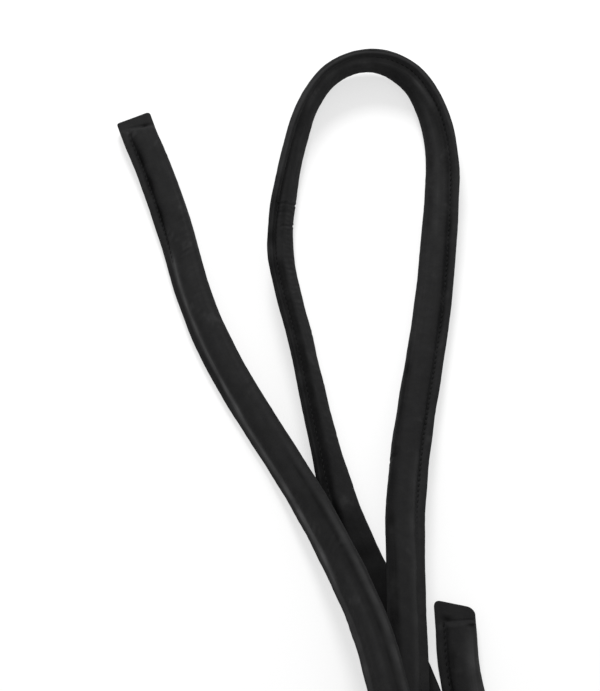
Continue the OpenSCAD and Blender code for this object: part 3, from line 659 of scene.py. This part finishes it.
def chape_line():
    """Middle of the chape's leather from one free end round the eye bar to the other, along and up."""
    half = CHAPE_T / 2
    level = LEATHER_T + SOFT_GAP + half
    ply = PLY_GAP / 2 + half
    upper = [(x, level) for x in np.linspace(-CHAPE_L, -29, 22)]
    upper += [(-27, level - 0.08), (-25, level - 0.6), (-23, ply + 0.45), (-21, ply + 0.04), (-18.5, ply)]
    upper += [(-15, ply), (-12.2, ply), (-9, ply + 0.65), (-5.5, ply + 1.35), (-2.6, ply + 1.95)]
    r = LOOP_R + half
    loop = [(r * math.cos(a), r * math.sin(a)) for a in np.linspace(FOLD_ANGLE, -FOLD_ANGLE, 25)]
    return np.array(upper + loop + [(x, -z) for x, z in reversed(upper)])


def strip_section(width, thick, grooves=()):
    """Rounded rectangle of a leather strip, across and up, with shallow grooves on both faces."""
    r, w, h = STRIP_ROUND, width / 2, thick / 2
    top = [(r - w, h)]
    for y in grooves:
        top += [(y - GROOVE_W, h), (y, h - GROOVE_D), (y + GROOVE_W, h)]
    top += [(w - r, h)]
    corner = [(w - r + r * math.sin(a), h - r + r * math.cos(a)) for a in (0.5, 1.05)]
    side = corner + [(w, h - r), (w, r - h)] + [(x, -y) for x, y in reversed(corner)]
    return np.array(top + side + [(x, -y) for x, y in reversed(top)] + [(-x, -y) for x, y in side])


def square_to(t):
    """Unit vectors square to the directions t, to their left."""
    t = t / np.linalg.norm(t, axis=1, keepdims=True)
    return np.stack([-t[:, 1], t[:, 0]], 1)


def chape_piece(name, place):
    """The chape: a strip folded round the eye bar, its two ends laid on the strap and thinned."""
    corners = chape_line()
    line = smooth(np.hstack([corners, 0 * corners]), 3)[:, :2]
    step = np.concatenate([[0], np.cumsum(np.hypot(*np.diff(line, axis=0).T))])
    n = square_to(np.gradient(line, step, axis=0))
    ring = strip_section(STRAP_W, CHAPE_T, (-CHAPE_GROOVE, CHAPE_GROOVE))
    end = np.minimum(step, step[-1] - step)[:, None]
    thick = SKIVED_T + (1 - SKIVED_T) * smoothstep(end, 0, SKIVED_L)
    wide = 1 - END_NARROW * (1 - np.sqrt(np.clip(1 - (1 - np.clip(end / END_ROUND, 0, 1)) ** 2, 0, 1)))
    swell = waves(step[:, None], ring[None, :, 0], np.random.default_rng(CHAPE_SEED), *CHAPE_SWELL)
    up = ring[:, 1] * thick + np.sign(ring[:, 1]) * np.clip(swell, *SWELL_LIMITS)
    # The free ends thin from outside, so that the inner face stays on the strap
    up -= CHAPE_T / 2 * (1 - thick)
    points = place(line[:, :1] + n[:, :1] * up, ring[:, 0] * wide, line[:, 1:] + n[:, 1:] * up)
    return mesh_object(name, points.reshape(-1, 3), tube_faces(len(line), len(ring)))


def chape_stitches(name, place):
    """Two rows of stitches on either face of the chape, a little sunk in their grooves."""
    level = LEATHER_T + SOFT_GAP + CHAPE_T - CHAPE_SUNK
    centres = np.arange(*CHAPE_SEWN)
    rows = [(centres, y, face * level, face) for y in (-CHAPE_GROOVE, CHAPE_GROOVE) for face in (1, -1)]
    return stitches(name, rows, place)


# Coil spring: rings to a turn, sides of the wire, and how much closer its end turns lie
TURN_STEPS, WIRE_SIDES, END_CLOSE = 28, 10, 0.5


def spring_piece(name, place):
    """The coil spring behind the bolt, its end turns drawn closer together."""
    count = SPRING_TURNS * TURN_STEPS
    share = np.arange(count + 1)[:, None] / count
    along = SPRING_X + SPRING_L * (share - END_CLOSE * np.sin(2 * math.pi * share) / (2 * math.pi))
    turn = 2 * math.pi * SPRING_TURNS * share
    round_wire = 2 * math.pi * np.arange(WIRE_SIDES) / WIRE_SIDES
    out = SPRING_R + WIRE / 2 * np.cos(round_wire)
    x = along + WIRE / 2 * np.sin(round_wire)
    points = place(x, BOLT_Y + out * np.cos(turn), out * np.sin(turn)).reshape(-1, 3)
    return mesh_object(name, points, tube_faces(count + 1, WIRE_SIDES))


# Ties: inner corner radius, place of the grooves, step along the band
TIE_ROUND, TIE_GROOVE, TIE_STEP = 0.3, 7.0, 1.5
# Overlap of a tie: thickness, depth that it is pressed in, places along it,
# its round end (from, length, least width) and its thinned start (share of thickness, from, to)
FLAP_T, FLAP_SUNK = 1.3, 0.05
FLAP_X = np.array([-8.0, -7.6, -7, -6, -5, -4, -2, 0, 2, 4, 6, 7, 8.0, 8.8, 9.4, 9.8, 10.0])[:, None]
FLAP_ROUND, FLAP_ROUND_L, FLAP_LEAST = 6, 4.05, 0.4
FLAP_THIN, FLAP_THIN_FROM, FLAP_THIN_TO = 0.15, -8.4, -4
# Its stitches: places of the two rows, level, and from, to and pitch across the tie
FLAP_ROWS, FLAP_LEVEL, FLAP_SEWN = (0.0, 3.0), 1.14, (-6, 6.1, 2.4)


def tie_line(x0, x1):
    """Middle of a tie's leather round two straps that reach from x0 to x1, across and up."""
    half_w = (x1 - x0) / 2 + SOFT_GAP - TIE_ROUND
    half_h = FLAT_Z + SOFT_GAP - TIE_ROUND
    r = TIE_ROUND + TIE_T / 2
    out = []
    for cx, cz, a0 in ((1, 1, 90), (1, -1, 0), (-1, -1, -90), (-1, 1, -180)):
        for a in np.radians(np.linspace(a0, a0 - 90, 6)):
            out.append((cx * half_w + r * math.cos(a), cz * half_h + r * math.sin(a)))
    line = []
    for a, b in zip(out, out[1:] + out[:1]):
        steps = max(1, int(math.dist(a, b) / TIE_STEP))
        line += [(a[0] + (b[0] - a[0]) * k / steps, a[1] + (b[1] - a[1]) * k / steps) for k in range(steps)]
    return np.array(line)


def tie_piece(name, x0, x1):
    """A leather band round two straps."""
    line = tie_line(x0, x1)
    n = square_to(np.roll(line, -1, 0) - np.roll(line, 1, 0))
    ring = strip_section(TIE_W, TIE_T, (-TIE_GROOVE, TIE_GROOVE))
    x = (x0 + x1) / 2 + line[:, :1] + n[:, :1] * ring[:, 1]
    z = FLAT_Z + SOFT_GAP + TIE_T + line[:, 1:] + n[:, 1:] * ring[:, 1]
    points = np.stack(np.broadcast_arrays(x, TIE_Y + ring[:, 0], z), -1).reshape(-1, 3)
    m = len(ring)
    starts = [m * i for i in range(len(line))]
    faces = [f for a, b in zip(starts, starts[1:] + starts[:1]) for f in band_faces(a, b, m)]
    return mesh_object(name, points, faces)


def tie_overlap(name, x0, x1):
    """The sewn overlap on top of a tie, with a rounded end, and its stitches."""
    mid, top = (x0 + x1) / 2, 2 * (FLAT_Z + SOFT_GAP) + 2 * TIE_T
    ring = strip_section(TIE_W - 1, FLAP_T)
    past = np.clip(FLAP_X - FLAP_ROUND, 0, None) / FLAP_ROUND_L
    wide = np.sqrt(np.clip(1 - past**2, 0.02, 1)) * (1 - FLAP_LEAST) + FLAP_LEAST
    thick = smoothstep(FLAP_X, FLAP_THIN_FROM, FLAP_THIN_TO) * (1 - FLAP_THIN) + FLAP_THIN
    up = (ring[:, 1] + FLAP_T / 2) * thick - FLAP_SUNK
    points = np.stack(np.broadcast_arrays(mid + FLAP_X, TIE_Y + ring[:, 0] * wide, top + up), -1)
    flap = mesh_object(name + "_flap", points.reshape(-1, 3), tube_faces(len(FLAP_X), len(ring)))

    def place(along, across, height):
        return np.stack([mid + across, TIE_Y + along, top + height], -1)

    rows = [(np.arange(*FLAP_SEWN), x, FLAP_LEVEL, 1) for x in FLAP_ROWS]
    return flap, stitches(name + "_stitches", rows, place)


# Materials
def new_material(name):
    """A material with its nodes, its links and its shader."""
    m = bpy.data.materials.new(name)
    m.use_nodes = True
    return m, m.node_tree.nodes, m.node_tree.links, m.node_tree.nodes["Principled BSDF"]


def texture(nodes, links, kind, source, **sockets):
    """A texture node at a place, with its sockets set."""
    t = nodes.new(kind)
    links.new(source, t.inputs["Vector"])
    for key, value in sockets.items():
        t.inputs[key].default_value = value
    return t


def ramp(nodes, links, source, stops):
    """A value turned into colours, or into plain levels."""
    r = nodes.new("ShaderNodeValToRGB")
    links.new(source, r.inputs["Fac"])
    for element, (at, colour) in zip(r.color_ramp.elements, stops):
        element.position = at
        element.color = (colour, colour, colour, 1) if isinstance(colour, float) else (*colour, 1)
    return r.outputs["Color"]


def bump(nodes, links, height, strength, distance, below=None):
    """A normal raised by a height, over another normal."""
    b = nodes.new("ShaderNodeBump")
    b.inputs["Strength"].default_value = strength
    b.inputs["Distance"].default_value = distance
    links.new(height, b.inputs["Height"])
    if below is not None:
        links.new(below, b.inputs["Normal"])
    return b.outputs["Normal"]


def mapped(nodes, links, source, scale):
    """Coordinates drawn out or pressed together."""
    m = nodes.new("ShaderNodeMapping")
    m.inputs["Scale"].default_value = scale
    links.new(source, m.inputs["Vector"])
    return m.outputs["Vector"]


def attribute(nodes, name):
    """Outputs of a value stored at the points."""
    node = nodes.new("ShaderNodeAttribute")
    node.attribute_name = name
    return node.outputs


def math_of(nodes, links, operation, a, b):
    """Two values joined by an operation."""
    node = nodes.new("ShaderNodeMath")
    node.operation = operation
    links.new(a, node.inputs[0])
    links.new(b, node.inputs[1])
    return node.outputs["Value"]


def tinted(nodes, links, colour, share, tint):
    """A colour turned into a tint by a share."""
    mix = nodes.new("ShaderNodeMix")
    mix.data_type = "RGBA"
    links.new(share, mix.inputs["Factor"])
    links.new(colour, mix.inputs["A"])
    mix.inputs["B"].default_value = (*tint, 1)
    return mix.outputs["Result"]


def leather(name, dark, light, grain, wear_and_highlight_tint=None, painted_shade_tint=None):
    """Black dressed leather: cloudy dye, fine pebbled grain and, on a strap, wear with painted highlights
    and painted shade in bands.
    """
    m, nodes, links, shader = new_material(name)
    place = nodes.new("ShaderNodeTexCoord").outputs["Object"]
    clouds = texture(nodes, links, "ShaderNodeTexNoise", place, Scale=210.0, Detail=6.0, Roughness=0.65)
    pebbles = texture(nodes, links, "ShaderNodeTexVoronoi", place, Scale=1500.0, Randomness=1.0)
    pores = texture(nodes, links, "ShaderNodeTexNoise", place, Scale=2600.0, Detail=3.0, Roughness=0.6)
    folds = texture(nodes, links, "ShaderNodeTexNoise", place, Scale=420.0, Detail=4.0, Roughness=0.55)
    colour = ramp(nodes, links, clouds.outputs["Fac"], [(0.3, dark), (0.72, light)])
    polish = clouds.outputs["Fac"]
    if wear_and_highlight_tint:
        drawn = mapped(nodes, links, attribute(nodes, "strap")["Vector"], (0.035, 0.9, 0.9))
        streaks = texture(nodes, links, "ShaderNodeTexNoise", drawn, Scale=1.0, Detail=5.0, Roughness=0.6)
        polish = streaks.outputs["Fac"]
        # lighter tint for wear and for painted highlights
        wear_and_highlight_share = math_of(nodes, links, "MULTIPLY", attribute(nodes, "wear_and_highlight")["Fac"], polish)
        colour = tinted(nodes, links, colour, wear_and_highlight_share, wear_and_highlight_tint)
        # darker tint for painted shade in valleys, hollows and between straps
        colour = tinted(nodes, links, colour, attribute(nodes, "painted_shade")["Fac"], painted_shade_tint)
    links.new(colour, shader.inputs["Base Color"])
    links.new(ramp(nodes, links, polish, [(0.3, 0.56), (0.7, 0.74)]), shader.inputs["Roughness"])
    shader.inputs["Specular IOR Level"].default_value = 0.04
    normal = bump(nodes, links, folds.outputs["Fac"], 0.35 * grain, 0.0004)
    normal = bump(nodes, links, pebbles.outputs["Distance"], 0.30 * grain, 0.00012, normal)
    normal = bump(nodes, links, pores.outputs["Fac"], 0.25 * grain, 0.00008, normal)
    links.new(normal, shader.inputs["Normal"])
    return m


def metal(name, colour, bright, rough, brush):
    """Plated or turned metal with fine brushing and cloudy polish."""
    m, nodes, links, shader = new_material(name)
    place = nodes.new("ShaderNodeTexCoord").outputs["Object"]
    clouds = texture(nodes, links, "ShaderNodeTexNoise", place, Scale=160.0, Detail=5.0)
    brushed = mapped(nodes, links, place, brush)
    lines = texture(nodes, links, "ShaderNodeTexNoise", brushed, Scale=1.0, Detail=4.0).outputs["Fac"]
    colours = ramp(nodes, links, clouds.outputs["Fac"], [(0.3, colour), (0.7, bright)])
    links.new(colours, shader.inputs["Base Color"])
    levels = ramp(nodes, links, lines, [(0.3, rough * 0.75), (0.7, rough * 1.35)])
    links.new(levels, shader.inputs["Roughness"])
    shader.inputs["Metallic"].default_value = 1.0
    links.new(bump(nodes, links, lines, 0.12, 0.00006), shader.inputs["Normal"])
    return m


def fibre(name, dark, light, twist, rough):
    """Waxed thread or filler cord with its twisted strands."""
    m, nodes, links, shader = new_material(name)
    place = nodes.new("ShaderNodeTexCoord").outputs["Object"]
    strands = texture(nodes, links, "ShaderNodeTexWave", place, Scale=twist, Distortion=2.5, Detail=2.0)
    fuzz = texture(nodes, links, "ShaderNodeTexNoise", place, Scale=3200.0, Detail=3.0)
    colours = ramp(nodes, links, strands.outputs["Fac"], [(0.2, dark), (0.8, light)])
    links.new(colours, shader.inputs["Base Color"])
    shader.inputs["Roughness"].default_value = rough
    shader.inputs["Specular IOR Level"].default_value = 0.05
    normal = bump(nodes, links, strands.outputs["Fac"], 0.4, 0.0001)
    links.new(bump(nodes, links, fuzz.outputs["Fac"], 0.3, 0.00005, normal), shader.inputs["Normal"])
    return m


# the cover's light tint is for wear and painted highlights, its dark tint for painted shade
COVER_LEATHER = leather("cover_leather", (0.0135, 0.0135, 0.0138), (0.0190, 0.0190, 0.0193), 1.0,
                        wear_and_highlight_tint=(0.100, 0.100, 0.101), painted_shade_tint=(0.0040, 0.0040, 0.0041))
CHAPE_LEATHER = leather("chape_leather", (0.0125, 0.0125, 0.0128), (0.0185, 0.0185, 0.0188), 0.8)
TIE_LEATHER = leather("tie_leather", (0.0140, 0.0140, 0.0143), (0.0205, 0.0205, 0.0208), 0.9)
THREAD = fibre("thread", (0.0075, 0.0075, 0.0077), (0.0145, 0.0145, 0.0147), 900.0, 0.7)
CORE = fibre("core_cord", (0.19, 0.18, 0.16), (0.30, 0.29, 0.27), 260.0, 0.85)
NICKEL = metal("snap_metal", (0.50, 0.50, 0.51), (0.66, 0.65, 0.65), 0.22, (500, 500, 500))
TURNED = metal("bolt_metal", (0.46, 0.46, 0.47), (0.60, 0.60, 0.61), 0.28, (300, 4200, 300))
SPRING = metal("spring_wire", (0.50, 0.50, 0.52), (0.66, 0.66, 0.68), 0.3, (900, 900, 900))
COPPER = metal("rivet_metal", (0.62, 0.33, 0.20), (0.76, 0.46, 0.31), 0.3, (700, 700, 700))
METAL_NODES = {
    "snap_eye": NICKEL, "snap_body": NICKEL, "snap_bolt": TURNED, "snap_thumb_stud": TURNED,
    "rein_rivet": COPPER, "rein_burr": COPPER,
}

# Camera: 28 degrees from straight down, in metres about the plan's zero
TILT, DISTANCE, SINK = math.radians(28.0), 0.743, 0.0016
AIM = to_frame((0, 0, 0))


def add_camera():
    """The photograph's view of the reins."""
    data = bpy.data.cameras.new("camera")
    data.lens = 90
    data.sensor_width = 36
    data.clip_start = 0.01
    camera = bpy.data.objects.new("camera", data)
    bpy.context.scene.collection.objects.link(camera)
    camera.rotation_euler = (TILT, 0, 0)
    camera.location = (AIM[0], AIM[1] - DISTANCE * math.sin(TILT), DISTANCE * math.cos(TILT) - SINK)
    bpy.context.scene.camera = camera


# Step along a strap's path, and the way back from its end to where it leaves the chape
PATH_STEP, CHAPE_MOUTH = 5.0, 28.0


def finish_piece(obj, material, slot, *nodes, body="reins"):
    """Gives a piece its material, and lets it ride on a body in place of the named nodes. The slot is not
    used.
    """
    obj.data.materials.append(material)
    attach(obj, body)
    if nodes:
        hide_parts(*nodes)


def strap_pieces(side, strap, marks):
    """A rein's strap: cover, filler and both faces of the seam."""
    cover = cover_piece(side + "_rein_cover_leather", strap, marks)
    finish_piece(cover, COVER_LEATHER, "cover_leather", side + "_rein_cover")
    s = np.append(np.arange(strap.length, 2, -PATH_STEP), 0.0)
    path = to_frame(strap.place(s, ROLL_P, 0.0))
    mouth = to_frame(strap.place(strap.length - CHAPE_MOUTH, ROLL_P, 0.0))
    finish_piece(core_piece(side + "_rein_filler", strap), CORE, "core_cord", side + "_rein_core")
    upper = seam_piece(side + "_rein_upper_stitches", strap, 1)
    finish_piece(upper, THREAD, "thread", side + "_rein_upper_thread")
    lower = seam_piece(side + "_rein_lower_stitches", strap, -1)
    finish_piece(lower, THREAD, "thread", side + "_rein_lower_thread")


def bit_end_pieces(side, end, heading):
    """A rein's bit end: chape, its stitches, and the spring behind the bolt."""
    place = snap_place(end, heading)
    chape = chape_piece(side + "_rein_chape_leather", place)
    finish_piece(chape, CHAPE_LEATHER, "chape_leather", side + "_rein_chape")
    finish_piece(chape_stitches(side + "_rein_chape_stitches", place), THREAD, "thread")
    spring = spring_piece(side + "_snap_coil_spring", place)
    finish_piece(spring, SPRING, "spring_wire", side + "_snap_spring", body=side + "_hook")
    to_frame(place(SPRING_X - WIRE / 2, BOLT_Y, 0.0)).tolist()
    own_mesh(spring)


def tie_pieces(side, x0, x1):
    """A tie of the hank round the straps between x0 and x1."""
    finish_piece(tie_piece(side + "_hank_tie_band", x0, x1), TIE_LEATHER, "tie_leather", side + "_hank_tie")
    flap, sewn = tie_overlap(side + "_hank_tie", x0, x1)
    finish_piece(flap, TIE_LEATHER, "tie_leather")
    finish_piece(sewn, THREAD, "thread")


def metal_looks():
    """Metal for the rivets and snaps."""
    for node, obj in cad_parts.items():
        kind = node.split("_", 1)[1]
        if kind in METAL_NODES:
            obj.data.materials.clear()
            obj.data.materials.append(METAL_NODES[kind])


# Floor (half size and height in metres, glow, shade), strength of the world,
# and the lamp (place from the aim and size in metres, power)
FLOOR_HALF, FLOOR_Z, FLOOR_GLOW, FLOOR_SHADE = 6.0, -0.0002, 0.62, 0.43
WORLD = 0.60
KEY_AT, KEY_SIZE, KEY_POWER = (-0.11, 0.84, 0.66), 0.35, 8.6


def background_rays(nodes, links):
    """1 for rays that show the background itself: straight from the camera, mirrored or let through."""
    path = nodes.new("ShaderNodeLightPath").outputs
    mirrored = math_of(nodes, links, "MAXIMUM", path["Is Camera Ray"], path["Is Glossy Ray"])
    return math_of(nodes, links, "MAXIMUM", mirrored, path["Is Transmission Ray"])


def floor_material():
    """A pale floor that shows white and keeps the reins' shadow."""
    m, nodes, links, shader = new_material("floor")
    shader.inputs["Base Color"].default_value = (0.8, 0.8, 0.8, 1)
    shader.inputs["Roughness"].default_value = 1.0
    shader.inputs["Specular IOR Level"].default_value = 0.0
    glow = nodes.new("ShaderNodeEmission")
    glow.inputs["Strength"].default_value = FLOOR_GLOW
    soft = nodes.new("ShaderNodeBsdfDiffuse")
    soft.inputs["Color"].default_value = (FLOOR_SHADE, FLOOR_SHADE, FLOOR_SHADE, 1)
    both = nodes.new("ShaderNodeAddShader")
    links.new(glow.outputs[0], both.inputs[0])
    links.new(soft.outputs[0], both.inputs[1])
    mix = nodes.new("ShaderNodeMixShader")
    links.new(background_rays(nodes, links), mix.inputs["Fac"])
    links.new(shader.outputs[0], mix.inputs[1])
    links.new(both.outputs[0], mix.inputs[2])
    links.new(mix.outputs[0], nodes["Material Output"].inputs["Surface"])
    return m


def add_floor():
    """The surface that the reins lie on."""
    mesh = bpy.data.meshes.new("floor")
    r, z = FLOOR_HALF, FLOOR_Z
    mesh.from_pydata([(-r, -r, z), (r, -r, z), (r, r, z), (-r, r, z)], [], [(0, 1, 2, 3)])
    mesh.materials.append(floor_material())
    obj = bpy.data.objects.new("floor", mesh)
    bpy.context.scene.collection.objects.link(obj)


def add_key_light():
    """A soft round lamp beyond the loop, which faces the middle of the picture."""
    data = bpy.data.lights.new("key", "AREA")
    data.shape = "DISK"
    data.size = KEY_SIZE
    data.energy = KEY_POWER
    obj = bpy.data.objects.new("key", data)
    bpy.context.scene.collection.objects.link(obj)
    x, y, z = KEY_AT
    obj.location = (AIM[0] + x, AIM[1] + y, z)
    obj.rotation_euler = (math.atan2(math.hypot(x, y), z), 0, math.atan2(x, -y))


def add_world():
    """Even white light all round, and a white background."""
    w = bpy.data.worlds.new("world")
    bpy.context.scene.world = w
    w.use_nodes = True
    nodes, links = w.node_tree.nodes, w.node_tree.links
    light = nodes["Background"]
    light.inputs["Color"].default_value = (1, 1, 1, 1)
    light.inputs["Strength"].default_value = WORLD
    plain = nodes.new("ShaderNodeBackground")
    plain.inputs["Color"].default_value = (1, 1, 1, 1)
    mix = nodes.new("ShaderNodeMixShader")
    links.new(background_rays(nodes, links), mix.inputs["Fac"])
    links.new(light.outputs[0], mix.inputs[1])
    links.new(plain.outputs[0], mix.inputs[2])
    links.new(mix.outputs[0], nodes["World Output"].inputs["Surface"])


add_camera()
strap_pieces("left", Strap(LEFT_ROUTE, slant=0, corner=1.0, line=(5.5, 0.2), seed=11), LEFT_MARKS)
bit_end_pieces("left", LEFT_END, 1)
strap_pieces("right", Strap(RIGHT_ROUTE, slant=16, corner=2.6, line=(7.2, -0.11), seed=23), RIGHT_MARKS)
bit_end_pieces("right", RIGHT_END, -1)
tie_pieces("left", OUT_LEFT - BACK_P, RUN_2 + EDGE_P)
tie_pieces("right", RUN_3 - EDGE_P, RUN_1 + BACK_P)
metal_looks()
add_floor()
add_key_light()
add_world()
bpy.context.scene.view_settings.view_transform = "Standard"
